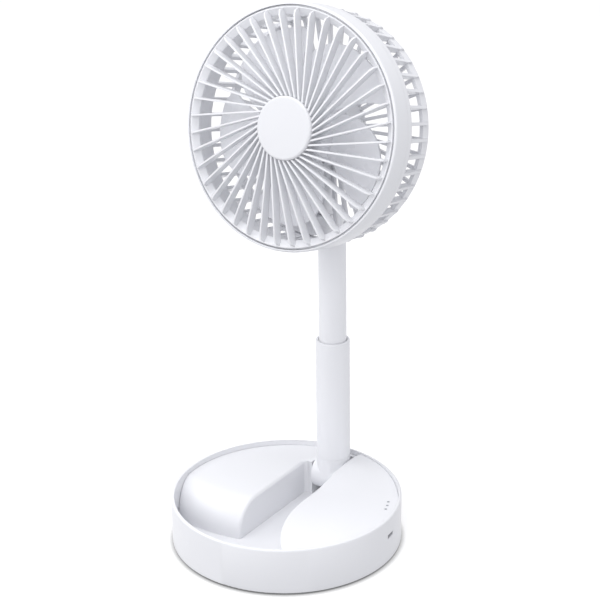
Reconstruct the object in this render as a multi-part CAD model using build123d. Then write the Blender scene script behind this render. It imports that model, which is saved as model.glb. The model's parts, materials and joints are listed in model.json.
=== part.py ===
from build123d import *
import math
import os

# A folding desk fan: a round battery base, a two-stage telescopic stem that folds down into a channel in
# the base, and a round fan head that tips over backwards and lies on top of the base when folded.
# Frame: millimetres, +Z up, origin at the centre of the base's underside, the fan faces -Y.

# ---- driving dimensions: base ----
base_r = 82.5
base_top = 35.0
foot_h = 1.0
wall_t = 2.2
skin = 2.2
fit_gap = 0.2
cover_t = 2.0
deck_top = 31.3
floor_top = 5.0
corner_r = 1.2
shoulder_r = 22.0
nose_r = 2.5
edge_r = 0.9

# ---- driving dimensions: channel and hinge ----
channel_left = -19.4
channel_right = 13.4
hump_front = -31.0
flare_r = 96.0
flare_start = 2.0
hinge_y = 62.5
hinge_z = 22.0
pocket_half = 13.4
pocket_front = 53.5
pocket_back = 77.0
barrel_r = 12.5
barrel_half = 12.4
rise_foot = 30.9
rise_end = 90.0

# ---- driving dimensions: stem ----
lower_r = 12.4
lower_bore_r = 10.6
spigot_r = 11.4
seam_z = 38.5
spigot_z = 30.5
lower_top = 131.5
upper_r = 10.0
upper_bore_r = 8.4
slide_travel = 76.0
upper_foot_z = seam_z + 1.0 + slide_travel
running = 0.05

# ---- driving dimensions: head ----
pivot_z = 225.0
pivot_back = 70.3
pivot_drop = 64.5
head_tilt = 13.7
drum_r = 83.0
drum_depth = 15.0
duct_r = 75.4
duct_t = 1.6
seat_r = 81.3
grille_back = 5.6
groove_w = 1.2
groove_depth = 2.4
bevel_r = 79.2
front_ribs = 40
rib_t = 1.3
rib_offset = 12.0
rib_phase = -2.3
cap_r = 21.4
cap_front = -6.0
hub_front = -2.2
band_r = 82.9
rear_ribs = 46
rear_rib_t = 2.2
rear_rib_phase = -2.4
motor_cup_r = 27.0
motor_cup_front = 33.0
motor_cup_back = 56.0
blade_tip_r = 67.6
blade_count = 5
hub_r = 24.5
knuckle_r = 9.6
fork_r = 10.4
fork_slot = 7.2
knuckle_half = 6.2
pin_r = 2.5

# ---- driving dimensions: port, lamps and button ----
port_turn = 6.0
port_z = 20.8
lamp_r = 73.3
lamp_turns = (26.0, 21.8, 17.6)
screw_turns = (-46.0, 35.0, 125.0, 190.0)
button_turn = 50.0
button_z = 20.0
button_r = 4.5

inner_r = base_r - wall_t
deck_r = inner_r - fit_gap
cover_top = foot_h + cover_t
ceiling = deck_top - skin
fork_base = -16.0
tilt = math.radians(head_tilt)
head_y = hinge_y - pivot_back * math.cos(tilt) + pivot_drop * math.sin(tilt)
head_z = pivot_z + pivot_back * math.sin(tilt) + pivot_drop * math.cos(tilt)

# Head parts are drawn with +Z along the fan's axis towards its back, +X to the right and +Y down, and the
# origin in the plane of the seam between grille and drum. head_place stands them up at the stem's top.
head_place = Pos(0, head_y, head_z) * Rot(-90 - head_tilt, 0, 0)
stem_place = Pos(0, hinge_y, 0)
pivot_place = Pos(0, hinge_y, pivot_z)


def disc(r, low, high):
    return Pos(0, 0, low) * extrude(Circle(r), amount=high - low)


def ring(r_out, r_in, low, high):
    return Pos(0, 0, low) * extrude(Circle(r_out) - Circle(r_in), amount=high - low)


def block(x0, x1, y0, y1, z0, z1):
    return Pos((x0 + x1) / 2, (y0 + y1) / 2, (z0 + z1) / 2) * Box(x1 - x0, y1 - y0, z1 - z0)


def rod_x(r, x0, x1, y, z):
    """A cylinder along X from x0 to x1."""
    return Pos((x0 + x1) / 2, y, z) * Rot(0, 90, 0) * Cylinder(r, x1 - x0)


def outline(*points):
    return make_face(Polyline(*points, close=True))


def group(shapes):
    return Compound(children=[solid for shape in shapes for solid in shape.solids()])


def turned(shape, count):
    """The shape repeated round Z."""
    return [Rot(0, 0, 360 / count * k) * shape for k in range(count)]


# ---- base ----
def port_frame(x, y, z):
    return Rot(0, 0, port_turn) * Pos(x, y, z)


def button_frame():
    """Carries a shape drawn along +Z to the button, with +Z pointing out of the wall."""
    return Rot(0, 0, button_turn) * Pos(0, 0, button_z) * Rot(0, 90, 0)


def base_wall():
    profile = Plane.XZ * Pos(inner_r, 0) * Rectangle(wall_t, base_top - foot_h, align=(Align.MIN, Align.MIN))
    wall = Pos(0, 0, foot_h) * revolve(profile, Axis.Z)
    outer_rims = wall.edges().filter_by(GeomType.CIRCLE).group_by(SortBy.RADIUS)[-1]
    wall = fillet(outer_rims, corner_r)
    wall -= port_frame(base_r, 0, port_z) * Box(3 * wall_t, 8.2, 3.0)
    return wall - button_frame() * Pos(0, 0, base_r) * Cylinder(button_r + 0.3, 4 * wall_t)


def hump_plan(inset):
    """The left island's outline: a rounded front, the channel wall and the pocket's step at the hinge."""
    front = hump_front + inset
    left = channel_left - inset
    step = -pocket_half - inset
    far = -base_r - 5
    edge = ThreePointArc((left, front), (-48, front - 3), (far, front + 3))
    pocket = pocket_front + inset
    rest = Polyline(
        (far, front + 3), (far, base_r), (step, base_r), (step, pocket), (left, pocket), (left, front)
    )
    return make_face(edge + rest)


def shouldered(inset, low, high):
    """The island with its broad front shoulder, before it is trimmed to the round base."""
    solid = Pos(0, 0, low) * extrude(hump_plan(inset), amount=high - low)
    top = solid.faces().sort_by(Axis.Z)[-1]
    return fillet(top.edges().filter_by(GeomType.CIRCLE), shoulder_r - inset)


def hump():
    """The island's outside, with the edge along the channel softened from the floor up over the shoulder."""
    solid = shouldered(0, cover_top, deck_top)
    wall_edges = solid.edges().filter_by_position(Axis.X, channel_left - 0.1, channel_left + 0.1)
    solid = fillet(wall_edges.sort_by(Axis.Z)[1:], nose_r)
    return solid & disc(deck_r, cover_top, deck_top)


def apron_plan(inset, low, high):
    """The right half of the deck, whose channel edge flares towards the front."""
    side = channel_right + inset
    straight = block(side, base_r, flare_start, base_r, low, high)
    flare = Pos(channel_right + flare_r, flare_start, 0) * disc(flare_r - inset, low, high)
    flare &= block(0, base_r, -base_r, flare_start, low, high)
    return straight + flare


def apron():
    solid = apron_plan(0, cover_top, deck_top)
    channel_edges = solid.faces().sort_by(Axis.Z)[-1].edges().sort_by(Axis.X)[:2]
    return fillet(channel_edges, edge_r) & disc(deck_r, cover_top, deck_top)


def rise_section(x, front, height):
    """One slice of the swelling beside the hinge: a soft hump over the deck."""
    low = rise_foot - skin
    peak = deck_top + height
    top = Spline(
        (front, rise_foot),
        ((front + hinge_y) / 2, deck_top + 0.5 * height),
        (hinge_y, peak),
        ((hinge_y + rise_end) / 2, deck_top + 0.7 * height),
        (rise_end, rise_foot),
    )
    under = Polyline((rise_end, rise_foot), (rise_end, low), (front, low), (front, rise_foot))
    return Plane.YZ.offset(x) * make_face(top + under)


def hinge_rise():
    """The apron swells gently towards the right of the hinge barrel."""
    sections = [
        rise_section(channel_right, 16.0, 4.7),
        rise_section(38.0, 22.0, 2.5),
        rise_section(66.0, 30.0, -0.3),
    ]
    return loft(sections) & disc(deck_r, cover_top, base_top + 5)


def deck_outside():
    behind_pocket = block(-pocket_half - 1, pocket_half + 1, pocket_back, base_r, cover_top, deck_top)
    outside = disc(deck_r, cover_top, floor_top)
    outside += hump()
    outside += apron() + hinge_rise()
    return outside + (behind_pocket & disc(deck_r, cover_top, deck_top))


def base_deck():
    """The moulded top of the base: a thin skin over the left hump and the right apron, with screw bosses."""
    outside = deck_outside()
    deck = outside - shouldered(skin, cover_top - 1, ceiling)
    deck -= apron_plan(skin, cover_top - 1, ceiling)
    for spot in screw_spots():
        deck += spot * disc(3.2, cover_top, ceiling + 1) & outside
        deck -= spot * disc(1.5, cover_top - 1, 13)
    deck -= rod_x(3.4, -24, 24, hinge_y, hinge_z)
    for turn in lamp_turns:
        deck -= Rot(0, 0, turn) * Pos(lamp_r, 0, deck_top) * Cylinder(1.0, 3 * skin)
    return deck


def screw_spots():
    return [Rot(0, 0, turn) * Pos(70, 0, 0) for turn in screw_turns]


def foot_spots():
    return [Rot(0, 0, 90 * k) * Pos(66, 0, 0) for k in range(4)]


def bottom_cover():
    cover = disc(deck_r, foot_h, cover_top)
    for spot in screw_spots():
        cover -= spot * disc(1.7, 0, cover_top + 1)
        cover -= spot * disc(3.3, 0, foot_h + 0.8)
    for spot in foot_spots():
        cover -= spot * disc(7.0, 0, foot_h + 0.8)
    return cover


def rubber_feet():
    foot = fillet(disc(6.9, 0, foot_h + 0.8).faces().sort_by(Axis.Z)[0].edges(), 0.4)
    return group([spot * foot for spot in foot_spots()])


def cover_screws():
    """Countersunk-head screws that hold the bottom cover up against the deck."""
    screw = disc(3.1, foot_h - 0.6, foot_h + 0.7) + disc(1.5, foot_h + 0.7, 12)
    screw -= Pos(0, 0, foot_h - 0.6) * Box(0.7, 3.6, 1.0)
    screw -= Pos(0, 0, foot_h - 0.6) * Box(3.6, 0.7, 1.0)
    return group([spot * screw for spot in screw_spots()])


cell_r = 9.2
cell_len = 65.0
cell_x = (-32.5, -51.8)
cell_y = 17.5
cell_z = 13.6


def battery_cells():
    cell = Rot(90, 0, 0) * fillet(Cylinder(cell_r, cell_len - 1).edges(), 0.8)
    nub = Pos(0, cell_len / 2, 0) * Rot(90, 0, 0) * Cylinder(2.8, 1.0)
    return group([Pos(x, cell_y, cell_z) * (cell + nub) for x in cell_x])


def battery_tray():
    x0 = cell_x[1] - cell_r - 0.4
    x1 = cell_x[0] + cell_r + 0.4
    y0 = cell_y - cell_len / 2 - 0.4
    y1 = cell_y + cell_len / 2 + 1.2
    tray = block(x0, x1, y0, y1, cover_top, cover_top + 1.2)
    middle = (cell_x[0] + cell_x[1]) / 2
    tray += block(middle - 1.2, middle + 1.2, y0, y1, cover_top, cover_top + 5.5)
    for x in cell_x:
        tray -= Pos(x, cell_y, cell_z) * Rot(90, 0, 0) * Cylinder(cell_r + 0.3, 2 * cell_len)
    return tray


board_top = port_z - 1.3
board_t = 1.6


def control_board():
    """The circuit board, with a tongue under the charging socket, and its chips and coil."""
    board = port_frame(56, 4, board_top - board_t / 2) * Box(34, 44, board_t)
    board += port_frame(75, 0, board_top - board_t / 2) * Box(7, 12, board_t)
    chips = [(50, 14, 7, 7, 1.4), (52, -4, 5, 6, 1.2), (60, 6, 8, 8, 3.2), (46, -12, 4, 4, 1.6)]
    for x, y, length, width, height in chips:
        board += port_frame(x, y, board_top + height / 2) * Box(length, width, height)
    return board


def board_posts():
    posts = []
    for x in (42, 68):
        for y in (-15, 23):
            posts.append(port_frame(x, y, 0) * disc(2.2, cover_top, board_top - board_t))
    return group(posts)


def usb_port():
    """A small charging socket: a pressed steel shell with a tongue inside it."""
    shell = port_frame(76.6, 0, port_z) * Box(6.4, 7.6, 2.6)
    shell -= port_frame(77.6, 0, port_z) * Box(6.0, 6.8, 1.9)
    tongue = port_frame(76.0, 0, port_z) * Box(4.4, 4.6, 0.7)
    return shell + tongue


def lamp_pipes():
    pipe = disc(0.9, port_z + 3, deck_top)
    return group([Rot(0, 0, turn) * Pos(lamp_r, 0, 0) * pipe for turn in lamp_turns])


button_face = base_r + 1.2
button_travel = 1.0


def power_button():
    button = fillet(disc(button_r, base_r - 3.5, button_face).faces().sort_by(Axis.Z)[-1].edges(), 0.6)
    button += disc(button_r + 1.6, inner_r - 3.2, inner_r - 1.7)
    button += disc(button_r, inner_r - 3.2, base_r - 3.5)
    return button_frame() * button


def button_switch():
    switch = Pos(0, 0, inner_r - 8.2) * Box(6, 6, 4.0)
    plunger = disc(1.6, inner_r - 6.2, inner_r - 3.2 - button_travel - 0.1)
    bracket = block(-6, button_z - cover_top, -4.5, 4.5, inner_r - 11.8, inner_r - 10.2)
    return button_frame() * (switch + plunger + bracket)


# ---- hinge between base and stem ----
cheek_in = 16.2
cheek_out = 20.2
cheek_front = hinge_y - 6.5


def hinge_cheeks():
    cheeks = []
    for side in (-1, 1):
        x0, x1 = sorted((side * cheek_in, side * cheek_out))
        cheek = block(x0, x1, cheek_front, hinge_y + 7, cover_top, hinge_z)
        cheek += rod_x(6.4, x0, x1, hinge_y, hinge_z)
        foot0, foot1 = sorted((side * cheek_in, side * (cheek_out + 8)))
        cheek += block(foot0, foot1, cheek_front, hinge_y + 9, cover_top, cover_top + 3)
        cheeks.append(cheek - rod_x(3.0 + running, x0 - 1, x1 + 1, hinge_y, hinge_z))
    return group(cheeks)


def hinge_pins():
    return group([rod_x(3.0, *sorted((side * 8.0, side * cheek_out)), hinge_y, hinge_z) for side in (-1, 1)])


def hinge_washers():
    washers = []
    for side in (-1, 1):
        x0, x1 = sorted((side * (barrel_half + 0.1), side * (pocket_half - 0.1)))
        washers.append(rod_x(8.5, x0, x1, hinge_y, hinge_z) - rod_x(3.2, x0 - 1, x1 + 1, hinge_y, hinge_z))
    return group(washers)


# ---- stem ----
def hinge_barrel():
    barrel = fillet(rod_x(barrel_r, -barrel_half, barrel_half, hinge_y, hinge_z).edges(), 0.8)
    barrel += stem_place * disc(lower_r, hinge_z, seam_z)
    barrel -= stem_place * disc(spigot_r, spigot_z, seam_z + 1)
    barrel -= stem_place * disc(4.0, hinge_z - barrel_r - 1, spigot_z + 1)
    return barrel - rod_x(3.0 + running, -barrel_half - 1, barrel_half + 1, hinge_y, hinge_z)


def lower_tube():
    tube = disc(lower_r, seam_z, lower_top) + disc(spigot_r, spigot_z, seam_z)
    tube = fillet(tube.faces().sort_by(Axis.Z)[-1].edges(), 1.0)
    return stem_place * (tube - disc(lower_bore_r, spigot_z - 1, lower_top + 1))


def tube_bush():
    """The plain bearing in the mouth of the lower tube."""
    return stem_place * ring(lower_bore_r, upper_r + running, upper_foot_z + 6.5, lower_top - 1.0)


def upper_tube():
    return stem_place * ring(upper_r, upper_bore_r, upper_foot_z, pivot_z + fork_base)


def foot_bush():
    """A split ring on the upper tube's foot. It guides the tube and meets the bush at full length."""
    bush = ring(lower_bore_r - running, upper_r, upper_foot_z, upper_foot_z + 6)
    return stem_place * (bush - Pos(lower_bore_r, 0, upper_foot_z + 3) * Box(4, 1.0, 8))


def tilt_fork():
    post = disc(fork_r, fork_base, 0) + Rot(0, 90, 0) * Cylinder(fork_r, 2 * fork_r)
    post &= disc(fork_r, fork_base, fork_r)
    post = post - block(-fork_slot, fork_slot, -20, 20, -fork_r - 0.4, 20)
    post += disc(upper_bore_r, fork_base - 14, fork_base)
    post -= disc(4.0, fork_base - 15, -fork_r + 1)
    return pivot_place * (post - rod_x(pin_r, -20, 20, 0, 0))


def tilt_pin():
    return pivot_place * rod_x(pin_r, -fork_r + 0.6, fork_r - 0.6, 0, 0)


def tilt_washers():
    washers = []
    for side in (-1, 1):
        x0, x1 = sorted((side * (knuckle_half + 0.1), side * (fork_slot - 0.1)))
        washers.append(rod_x(7.5, x0, x1, 0, 0) - rod_x(pin_r + 0.1, x0 - 1, x1 + 1, 0, 0))
    return pivot_place * group(washers)


# ---- head ----
arm_half = 7.0
spine_half = 8.0
arm_front = 47.0
arm_back = 57.2
block_half = 11.0


def tilt_bracket():
    """The knuckle on the stem's fork, a block in the foot of the cage and an arm up the cage's back."""
    knuckle = rod_x(knuckle_r, -knuckle_half, knuckle_half, pivot_drop, pivot_back)
    neck = block(-knuckle_half, knuckle_half, pivot_drop - 6, pivot_drop + 6, arm_back - 1, pivot_back)
    foot = block(-block_half, block_half, 60, 73, 33, arm_back)
    foot = fillet(foot.edges().filter_by(Axis.Y), 3)
    arm = block(-arm_half, arm_half, motor_cup_r + 0.4, 61, arm_front, arm_back)
    arm = fillet(arm.edges().filter_by(Axis.Z).group_by(Axis.Y)[0], 3)
    bracket = knuckle + neck + foot + arm
    for y in (34, 52):
        bracket -= Pos(0, y, 0) * disc(1.7, arm_front - 1, arm_back + 1)
        bracket -= Pos(0, y, 0) * disc(3.2, arm_back - 2.4, arm_back + 1)
    return head_place * (bracket - rod_x(pin_r + running, -20, 20, pivot_drop, pivot_back))


def bracket_screws():
    screws = []
    for y in (34, 52):
        screw = disc(3.0, arm_back - 2.3, arm_back - 0.4) + disc(1.5, arm_front - 5, arm_back - 2.3)
        screw -= Pos(0, 0, arm_back - 0.4) * Box(0.7, 3.6, 1.6)
        screw -= Pos(0, 0, arm_back - 0.4) * Box(3.6, 0.7, 1.6)
        screws.append(head_place * Pos(0, y, 0) * screw)
    return group(screws)


def drum_ring():
    """The smooth outer hoop, with a duct for the blades carried on a web behind the grille."""
    hoop = ring(drum_r, seat_r, 0.0, drum_depth)
    outer_rims = hoop.edges().filter_by(GeomType.CIRCLE).group_by(SortBy.RADIUS)[-1]
    hoop = fillet(outer_rims.sort_by(Axis.Z)[0], corner_r)
    web = ring(seat_r + 0.5, duct_r, grille_back + 0.4, grille_back + 2.4)
    duct = ring(duct_r + duct_t, duct_r, grille_back + 0.4, drum_depth + 3)
    return head_place * (hoop + web + duct)


def front_rib():
    """One straight, deep rib. It passes beside the fan's axis, so the ribs swirl."""
    start = math.sqrt((cap_r - 2.5) ** 2 - rib_offset ** 2)
    stop = math.sqrt((bevel_r - 0.2) ** 2 - rib_offset ** 2)
    side = outline((start, -4.4), (73.5, -4.8), (76.8, -3.2), (stop, 0), (stop, 2.6), (start, 2.0))
    return Pos(0, rib_offset + rib_t / 2, 0) * extrude(Plane.XZ * side, amount=rib_t)


def front_rim():
    """The grille's rim: a wide bevel inside, a step outside that leaves a groove along the hoop."""
    outer = seat_r - fit_gap
    lip = seat_r - groove_w
    inner = duct_r - 0.5
    bevel = [(lip, 0), (bevel_r, 0), (inner, 2.9), (inner, grille_back)]
    groove = [(outer, grille_back), (outer, groove_depth), (lip, groove_depth)]
    profile = outline(*bevel, *groove)
    return revolve(Plane.XZ * profile, Axis.Z)


def front_grille():
    grille = front_rim() + [Rot(0, 0, rib_phase) * rib for rib in turned(front_rib(), front_ribs)]
    grille -= disc(cap_r + 0.15, -20, hub_front)
    return head_place * (grille + disc(cap_r - 0.3, hub_front, 2.2))


def front_cap():
    cap = disc(cap_r, cap_front, hub_front)
    return head_place * fillet(cap.faces().sort_by(Axis.Z)[0].edges(), 1.6)


def rear_rib():
    """A flat rib: straight down the cage's side, round the corner and in to the motor cup."""
    inner = seat_r - 4
    side = make_face(
        Line((inner, drum_depth + 4), (band_r - 0.4, drum_depth + 4))
        + Line((band_r - 0.4, drum_depth + 4), (80.0, 43.0))
        + ThreePointArc((80.0, 43.0), (79.3, 48.6), (75.5, 50.5))
        + Line((75.5, 50.5), (motor_cup_r - 1, 54.5))
        + Line((motor_cup_r - 1, 54.5), (motor_cup_r - 1, 51.5))
        + Line((motor_cup_r - 1, 51.5), (74.5, 47.5))
        + Line((74.5, 47.5), (76.2, 43.0))
        + Line((76.2, 43.0), (inner, drum_depth + 4))
    )
    return Pos(0, rear_rib_t / 2, 0) * extrude(Plane.XZ * side, amount=rear_rib_t)


def rear_cage():
    """The rear guard and the motor's cup, cut back for the tilt bracket's arm and foot."""
    cage = ring(seat_r - fit_gap, seat_r - 4, 9.0, drum_depth + 0.5)
    cage += ring(band_r, seat_r - 4, drum_depth, drum_depth + 5)
    cage += [Rot(0, 0, rear_rib_phase) * rib for rib in turned(rear_rib(), rear_ribs)]
    cage += ring(79.0, 76.4, 42.0, 49.5)
    cage += disc(motor_cup_r, motor_cup_front, motor_cup_back)
    cage -= block(-arm_half - 0.3, arm_half + 0.3, motor_cup_r + 0.1, 61, arm_front - 0.1, 60)
    cage += block(-spine_half, spine_half, motor_cup_r - 1, 61, 43.5, arm_front - 0.1)
    cage -= block(-block_half - 0.3, block_half + 0.3, 59.7, 73.3, 32.7, 60)
    cage -= disc(motor_cup_r - 2, motor_cup_front - 1, motor_cup_back - 2)
    cage += ring(5.5, 4.0, 40.0, motor_cup_back - 1)
    for y in (34, 52):
        cage -= Pos(0, y, 0) * disc(1.5, 40, 48)
    return head_place * cage.solids().sort_by(SortBy.VOLUME)[-1]


def polar(r, turn):
    """A point in the head's frame from its radius and its angle, clockwise from straight up."""
    angle = math.radians(turn)
    return (r * math.sin(angle), -r * math.cos(angle))


def blade_plan():
    """The blade along the axis: a swept leading edge, a round tip, a nearly straight trailing edge."""
    tip_front = polar(blade_tip_r - 1, -40)
    tip_back = polar(blade_tip_r, -11)
    root = (polar(23, -17), polar(23, -88))
    leading = Spline(root[1], polar(40, -74.5), polar(47, -70), polar(58.5, -59), polar(65, -46.5), tip_front)
    end = ThreePointArc(tip_front, polar(blade_tip_r, -26), tip_back)
    trailing = Spline(tip_back, polar(61.8, -5.3), polar(54.5, -7.6), polar(37, -12.4), root[0])
    return make_face(leading + end + trailing + Line(*root))


def blade_section(r, chord, pitch, sweep, depth):
    """A thin rounded section of the blade, square to the radius."""
    plane = Plane(origin=(r, sweep, depth), x_dir=(0, math.cos(pitch), math.sin(pitch)), z_dir=(1, 0, 0))
    return plane * RectangleRounded(chord, 1.6, 0.6)


def blade():
    sections = [
        blade_section(4, 50, math.radians(17), -6, 19.0),
        blade_section(44, 62, math.radians(13), -3, 18.0),
        blade_section(70, 72, math.radians(9), 2, 17.3),
    ]
    body = Rot(0, 0, -123) * loft(sections)
    return body & extrude(blade_plan(), amount=60) & ring(blade_tip_r, hub_r - 1, 0, 60)


def impeller():
    hub = fillet(disc(hub_r, 9.0, 34.0).faces().sort_by(Axis.Z)[0].edges(), 3)
    hub -= disc(hub_r - 2.0, 12.0, 35.0)
    hub += disc(6.0, 11.0, 30.0)
    fan = hub + turned(blade(), blade_count)
    return head_place * (fan - disc(1.5, 0, 60))


def motor_shaft():
    return head_place * disc(1.5, 7.6, 53.4)


def shaft_clip():
    return head_place * ring(3.4, 1.5, 8.0, 9.0)


def rotor_cup():
    cup = disc(22.0, 34.6, 50.5) - disc(20.6, 36.1, 51)
    return head_place * (cup + disc(4.5, 30.6, 34.6) - disc(1.5, 20, 60))


def rotor_magnet():
    return head_place * ring(20.6, 18.8, 37.0, 50.0)


def stator_core():
    core = ring(10.0, 5.5, 40.0, 49.0)
    tooth = block(9.0, 16.5, -1.4, 1.4, 40.0, 49.0)
    shoe = ring(18.2, 16.4, 40.0, 49.0) & block(10, 20, -4.8, 4.8, 40.0, 49.0)
    return head_place * (core + turned(tooth + shoe, 9))


def stator_coils():
    coil = block(10.6, 15.8, -2.9, 2.9, 38.6, 50.4) - block(10.0, 16.4, -1.4, 1.4, 40.0, 49.0)
    return head_place * group(turned(coil, 9))


def motor_bearings():
    bearing = ring(4.0, 1.5 + running, 0, 4.0)
    return head_place * group([Pos(0, 0, 40.2) * bearing, Pos(0, 0, 49.5) * bearing])


def motor_board():
    return head_place * ring(22.0, 6.0, 52.5, motor_cup_back - 2)


nodes = {
    "base_wall": base_wall,
    "base_deck": base_deck,
    "bottom_cover": bottom_cover,
    "rubber_feet": rubber_feet,
    "cover_screws": cover_screws,
    "battery_cells": battery_cells,
    "battery_tray": battery_tray,
    "control_board": control_board,
    "board_posts": board_posts,
    "usb_port": usb_port,
    "lamp_pipes": lamp_pipes,
    "power_button": power_button,
    "button_switch": button_switch,
    "hinge_cheeks": hinge_cheeks,
    "hinge_pins": hinge_pins,
    "hinge_washers": hinge_washers,
    "hinge_barrel": hinge_barrel,
    "lower_tube": lower_tube,
    "tube_bush": tube_bush,
    "upper_tube": upper_tube,
    "foot_bush": foot_bush,
    "tilt_fork": tilt_fork,
    "tilt_pin": tilt_pin,
    "tilt_washers": tilt_washers,
    "tilt_bracket": tilt_bracket,
    "bracket_screws": bracket_screws,
    "drum_ring": drum_ring,
    "front_grille": front_grille,
    "front_cap": front_cap,
    "rear_cage": rear_cage,
    "impeller": impeller,
    "motor_shaft": motor_shaft,
    "shaft_clip": shaft_clip,
    "rotor_cup": rotor_cup,
    "rotor_magnet": rotor_magnet,
    "stator_core": stator_core,
    "stator_coils": stator_coils,
    "motor_bearings": motor_bearings,
    "motor_board": motor_board,
}

os.makedirs("parts", exist_ok=True)
for name, make in nodes.items():
    export_step(make(), f"parts/{name}.step")
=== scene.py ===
import json
import math

import bmesh
import bpy
from mathutils import Matrix, Vector

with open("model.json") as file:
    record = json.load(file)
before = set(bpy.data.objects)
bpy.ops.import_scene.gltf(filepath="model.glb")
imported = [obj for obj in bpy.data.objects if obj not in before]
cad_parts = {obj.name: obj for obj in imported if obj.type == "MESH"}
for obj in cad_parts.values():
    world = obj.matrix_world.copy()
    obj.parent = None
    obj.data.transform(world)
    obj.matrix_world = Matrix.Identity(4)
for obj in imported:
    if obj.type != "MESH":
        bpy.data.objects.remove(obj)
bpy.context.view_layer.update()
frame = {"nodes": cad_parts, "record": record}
scene = bpy.context.scene
record = frame["record"]

# ---- view: the camera looks down on the fan from its right front ----
view_azimuth = math.radians(34.02)
view_elevation = math.radians(22.72)
view_roll = math.radians(-0.79)
view_distance = 1.2473
view_target = Vector((0.00718, 0.01026, 0.18192))
lens_mm = 108.8
sensor_mm = 36.0
far_limit = 50

# ---- looks ----
white = (0.80, 0.805, 0.83)
edge_softness = 0.0006
grain_depth = 0.00004
ripple_depth = 0.0004
ripple_strength = 0.05
plastic_ior = 1.48
glow_depth = (0.004, 0.004, 0.004)
glow_scale = 0.5
weld_distance = 0.00002
crease_angle = math.radians(28)

# ---- stage ----
floor_half = 6
floor_glow = 1.12
floor_glow_share = 0.5
# reach of the floor's painted contact shadow
painted_shadow_reach = 0.0042
aim_point = (0, 0, 0.2)
neutral_light = (1.0, 1.0, 1.0)
cool_light = (0.97, 0.98, 1.0)
sky_color = (0.96, 0.965, 1.0, 1)
sky_strength = 0.7


def add_camera():
    back = Vector(
        (
            math.sin(view_azimuth) * math.cos(view_elevation),
            -math.cos(view_azimuth) * math.cos(view_elevation),
            math.sin(view_elevation),
        )
    )
    data = bpy.data.cameras.new("camera")
    data.lens = lens_mm
    data.sensor_width = sensor_mm
    data.clip_end = far_limit
    camera = bpy.data.objects.new("camera", data)
    scene.collection.objects.link(camera)
    turn = back.to_track_quat("Z", "Y").to_matrix() @ Matrix.Rotation(view_roll, 3, "Z")
    camera.matrix_world = Matrix.Translation(view_target + back * view_distance) @ turn.to_4x4()
    scene.camera = camera


# ---- materials ----
def new_material(name):
    material = bpy.data.materials.new(name)
    material.use_nodes = True
    nodes = material.node_tree.nodes
    return material, nodes, material.node_tree.links, nodes["Principled BSDF"]


def add_node(nodes, kind, **values):
    node = nodes.new(kind)
    for key, value in values.items():
        if hasattr(node, key):
            setattr(node, key, value)
        else:
            node.inputs[key.replace("_", " ")].default_value = value
    return node


def ramp(nodes, links, source, low, high):
    """Maps a 0 to 1 value to the colours from low to high."""
    node = nodes.new("ShaderNodeValToRGB")
    node.color_ramp.elements[0].color = (*low, 1)
    node.color_ramp.elements[1].color = (*high, 1)
    links.new(source, node.inputs["Fac"])
    return node.outputs["Color"]


def map_range(nodes, links, source, low, high):
    node = nodes.new("ShaderNodeMapRange")
    node.inputs["To Min"].default_value = low
    node.inputs["To Max"].default_value = high
    links.new(source, node.inputs["Value"])
    return node.outputs["Result"]


def shade(color, factor):
    return tuple(min(1.0, c * factor) for c in color)


def add_noise(nodes, links, place, **values):
    noise = add_node(nodes, "ShaderNodeTexNoise", **values)
    links.new(place, noise.inputs["Vector"])
    return noise


def color_between(nodes, links, source, low, high, shader):
    links.new(ramp(nodes, links, source, low, high), shader.inputs["Base Color"])


def roughness_between(nodes, links, source, low, high, shader):
    links.new(map_range(nodes, links, source, low, high), shader.inputs["Roughness"])


def add_bump(nodes, links, height, strength, depth, target):
    bump = add_node(nodes, "ShaderNodeBump", Strength=strength, Distance=depth)
    links.new(height, bump.inputs["Height"])
    links.new(bump.outputs["Normal"], target)
    return bump


def moulded_plastic(name, color, roughness=0.32, grain=0.06, glow=0.0):
    """Injection-moulded plastic: a fine spark-eroded grain, faint flow clouds and a soft skin gloss."""
    material, nodes, links, shader = new_material(name)
    place = nodes.new("ShaderNodeTexCoord").outputs["Object"]
    clouds = add_noise(nodes, links, place, Scale=18.0, Detail=3.0, Roughness=0.55).outputs["Fac"]
    grain_noise = add_noise(nodes, links, place, Scale=2600, Detail=2.0, Roughness=0.6).outputs["Fac"]
    ripples = add_noise(nodes, links, place, Scale=75.0, Detail=1.0, Roughness=0.5).outputs["Fac"]
    color_between(nodes, links, clouds, shade(color, 0.985), shade(color, 1.01), shader)
    roughness_between(nodes, links, clouds, roughness - 0.05, roughness + 0.05, shader)
    soft_edge = add_node(nodes, "ShaderNodeBevel", samples=4, Radius=edge_softness)
    broad = add_bump(nodes, links, ripples, ripple_strength, ripple_depth, shader.inputs["Normal"])
    fine = add_bump(nodes, links, grain_noise, grain, grain_depth, broad.inputs["Normal"])
    links.new(soft_edge.outputs["Normal"], fine.inputs["Normal"])
    shader.inputs["IOR"].default_value = plastic_ior
    shader.inputs["Subsurface Weight"].default_value = glow
    shader.inputs["Subsurface Radius"].default_value = glow_depth
    shader.inputs["Subsurface Scale"].default_value = glow_scale
    return material


def rubber(name, color):
    """Soft rubber with a dusty, matt skin."""
    material, nodes, links, shader = new_material(name)
    place = nodes.new("ShaderNodeTexCoord").outputs["Object"]
    dust = add_noise(nodes, links, place, Scale=300.0, Detail=4.0).outputs["Fac"]
    color_between(nodes, links, dust, shade(color, 0.8), shade(color, 1.15), shader)
    roughness_between(nodes, links, dust, 0.7, 0.9, shader)
    add_bump(nodes, links, dust, 0.3, 0.0001, shader.inputs["Normal"])
    return material


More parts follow.
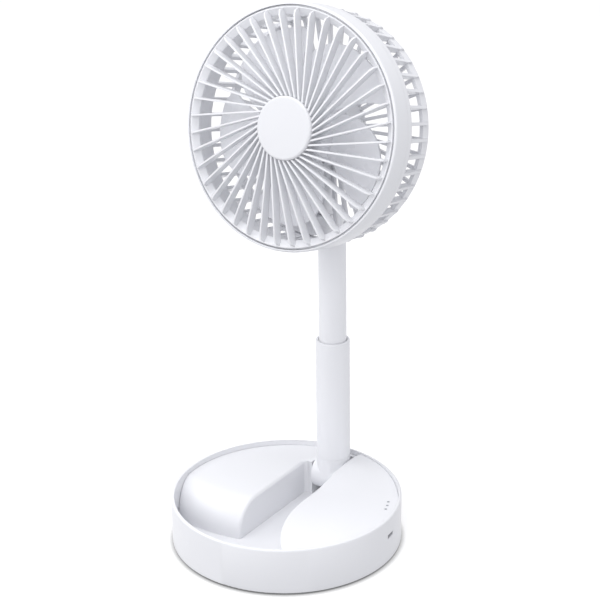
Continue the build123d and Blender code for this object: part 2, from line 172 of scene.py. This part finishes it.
def metal(name, color, roughness, stretch=(1, 1, 40)):
    """Ground or drawn metal, with fine scratches along one direction."""
    material, nodes, links, shader = new_material(name)
    place = nodes.new("ShaderNodeTexCoord").outputs["Object"]
    mapping = add_node(nodes, "ShaderNodeMapping", Scale=stretch)
    links.new(place, mapping.inputs["Vector"])
    stretched = mapping.outputs["Vector"]
    scratches = add_noise(nodes, links, stretched, Scale=220.0, Detail=5.0, Roughness=0.6).outputs["Fac"]
    color_between(nodes, links, scratches, shade(color, 0.8), shade(color, 1.1), shader)
    roughness_between(nodes, links, scratches, roughness - 0.1, roughness + 0.12, shader)
    add_bump(nodes, links, scratches, 0.15, 0.00005, shader.inputs["Normal"])
    shader.inputs["Metallic"].default_value = 1.0
    return material


def wound_copper(name, color):
    """Enamelled wire, wound in close turns, with painted shade between the turns and a painted highlight
    on them.
    """
    material, nodes, links, shader = new_material(name)
    place = nodes.new("ShaderNodeTexCoord").outputs["Object"]
    turns = add_node(nodes, "ShaderNodeTexWave", Scale=900.0, Distortion=1.5, bands_direction="Y")
    links.new(place, turns.inputs["Vector"])
    # painted shade and highlight: the colour runs from half the copper's to 1.15 times it across each
    # turn
    color_between(nodes, links, turns.outputs["Fac"], shade(color, 0.5), shade(color, 1.15), shader)
    add_bump(nodes, links, turns.outputs["Fac"], 0.8, 0.0002, shader.inputs["Normal"])
    shader.inputs["Metallic"].default_value = 1.0
    shader.inputs["Roughness"].default_value = 0.35
    return material


def circuit_board(name, color):
    """Green solder mask over a net of tracks."""
    material, nodes, links, shader = new_material(name)
    place = nodes.new("ShaderNodeTexCoord").outputs["Object"]
    tracks = add_node(nodes, "ShaderNodeTexVoronoi", Scale=420.0, feature="DISTANCE_TO_EDGE")
    links.new(place, tracks.inputs["Vector"])
    edge = map_range(nodes, links, tracks.outputs["Distance"], 1.0, 0.0)
    color_between(nodes, links, edge, color, shade(color, 1.9), shader)
    add_bump(nodes, links, tracks.outputs["Distance"], 0.4, 0.00006, shader.inputs["Normal"])
    shader.inputs["Roughness"].default_value = 0.4
    return material


def slot_materials():
    plastics = {
        "white_shell": {"color": white},
        # painted shade: the cap is the shell's white made 7 % darker; its higher roughness is a duller
        # finish
        "white_cap_painted_shade": {"color": shade(white, 0.93), "roughness": 0.55},
        # painted light: the stem tubes are the shell's white made 5 % brighter
        "white_stem": {"color": shade(white, 1.05), "roughness": 0.4},
        # painted light: the blades are the shell's white made 11 % brighter; the slight subsurface is
        # translucency
        "white_blade": {"color": shade(white, 1.11), "roughness": 0.28, "glow": 0.1},
        "grey_dark_plastic": {"color": (0.03, 0.03, 0.033), "roughness": 0.5, "grain": 0.2},
        "natural_acetal": {"color": (0.72, 0.72, 0.70), "roughness": 0.4, "glow": 0.2},
        "lamp_lens": {"color": (0.35, 0.37, 0.40), "roughness": 0.3, "grain": 0.1},
        "cell_sleeve": {"color": (0.04, 0.16, 0.42), "roughness": 0.22, "grain": 0.02},
    }
    metals = {
        "steel": {"color": (0.62, 0.63, 0.65), "roughness": 0.32},
        "port_steel": {"color": (0.05, 0.05, 0.055), "roughness": 0.4},
        "lamination_steel": {"color": (0.30, 0.31, 0.33), "roughness": 0.42, "stretch": (1, 30, 1)},
        "magnet": {"color": (0.10, 0.10, 0.11), "roughness": 0.55, "stretch": (4, 4, 4)},
    }
    found = {name: moulded_plastic(name, **look) for name, look in plastics.items()}
    found.update({name: metal(name, **look) for name, look in metals.items()})
    found["foot_rubber"] = rubber("foot_rubber", (0.28, 0.29, 0.31))
    found["copper_wire"] = wound_copper("copper_wire", (0.72, 0.38, 0.22))
    found["circuit_board"] = circuit_board("circuit_board", (0.02, 0.16, 0.07))
    return found


def finish_cad_nodes(materials):
    """Gives each node its slot's material, the front cap a duller one whose darker colour is painted
    shade, and smooth, crisp shading.
    """
    for part in record["subparts"]:
        obj = frame["nodes"][part["node"]]
        obj.data.materials.clear()
        # the front cap gets the darker white, which is painted shade
        slot = "white_cap_painted_shade" if part["node"] == "front_cap" else part["material_slot"]
        obj.data.materials.append(materials[slot])
        obj.data.polygons.foreach_set("use_smooth", [True] * len(obj.data.polygons))
        weld = obj.modifiers.new("weld", "WELD")
        weld.merge_threshold = weld_distance
        crisp = obj.modifiers.new("crisp", "EDGE_SPLIT")
        crisp.split_angle = crease_angle


# ---- floor, lights and sky ----
def add_floor():
    """A glowing white floor with a painted contact shadow: it darkens only where something nearly
    touches it.
    """
    mesh = bpy.data.meshes.new("floor")
    build = bmesh.new()
    bmesh.ops.create_grid(build, x_segments=2, y_segments=2, size=floor_half)
    build.to_mesh(mesh)
    build.free()
    floor = bpy.data.objects.new("floor", mesh)
    scene.collection.objects.link(floor)
    material = bpy.data.materials.new("floor")
    material.use_nodes = True
    nodes, links = material.node_tree.nodes, material.node_tree.links
    nodes.clear()
    surface = nodes.new("ShaderNodeBsdfDiffuse")
    glow = add_node(nodes, "ShaderNodeEmission", Strength=floor_glow)
    mix = add_node(nodes, "ShaderNodeMixShader", Fac=floor_glow_share)
    # painted shadow: ambient occlusion darkens the floor's colour and glow close to the fan's base
    painted_contact_shadow = add_node(nodes, "ShaderNodeAmbientOcclusion", samples=8, Distance=painted_shadow_reach)
    links.new(painted_contact_shadow.outputs["Color"], glow.inputs["Color"])
    links.new(painted_contact_shadow.outputs["Color"], surface.inputs["Color"])
    output = nodes.new("ShaderNodeOutputMaterial")
    links.new(surface.outputs[0], mix.inputs[1])
    links.new(glow.outputs[0], mix.inputs[2])
    links.new(mix.outputs[0], output.inputs["Surface"])
    mesh.materials.append(material)
    floor.visible_diffuse = False


def add_soft_light(name, place, size, power, color=neutral_light):
    data = bpy.data.lights.new(name, "AREA")
    data.shape = "SQUARE"
    data.size = size
    data.energy = power
    data.color = color
    light = bpy.data.objects.new(name, data)
    scene.collection.objects.link(light)
    aim = (Vector(place) - Vector(aim_point)).to_track_quat("Z", "Y").to_matrix().to_4x4()
    light.matrix_world = Matrix.Translation(place) @ aim


def add_lights():
    add_soft_light("key", (-1.6, -1.1, 1.4), 1.6, 13.0)
    add_soft_light("top", (0.0, -0.3, 2.4), 1.6, 26.0)
    add_soft_light("rim", (1.6, 0.6, 1.2), 1.0, 2.0, cool_light)
    add_soft_light("front", (0.5, -1.9, 1.2), 1.2, 11.0)


def add_sky():
    world = bpy.data.worlds.new("studio")
    world.use_nodes = True
    background = world.node_tree.nodes["Background"]
    background.inputs["Color"].default_value = sky_color
    background.inputs["Strength"].default_value = sky_strength
    scene.world = world
    scene.view_settings.view_transform = "Standard"


materials = slot_materials()
finish_cad_nodes(materials)
add_floor()
add_lights()
add_sky()
add_camera()
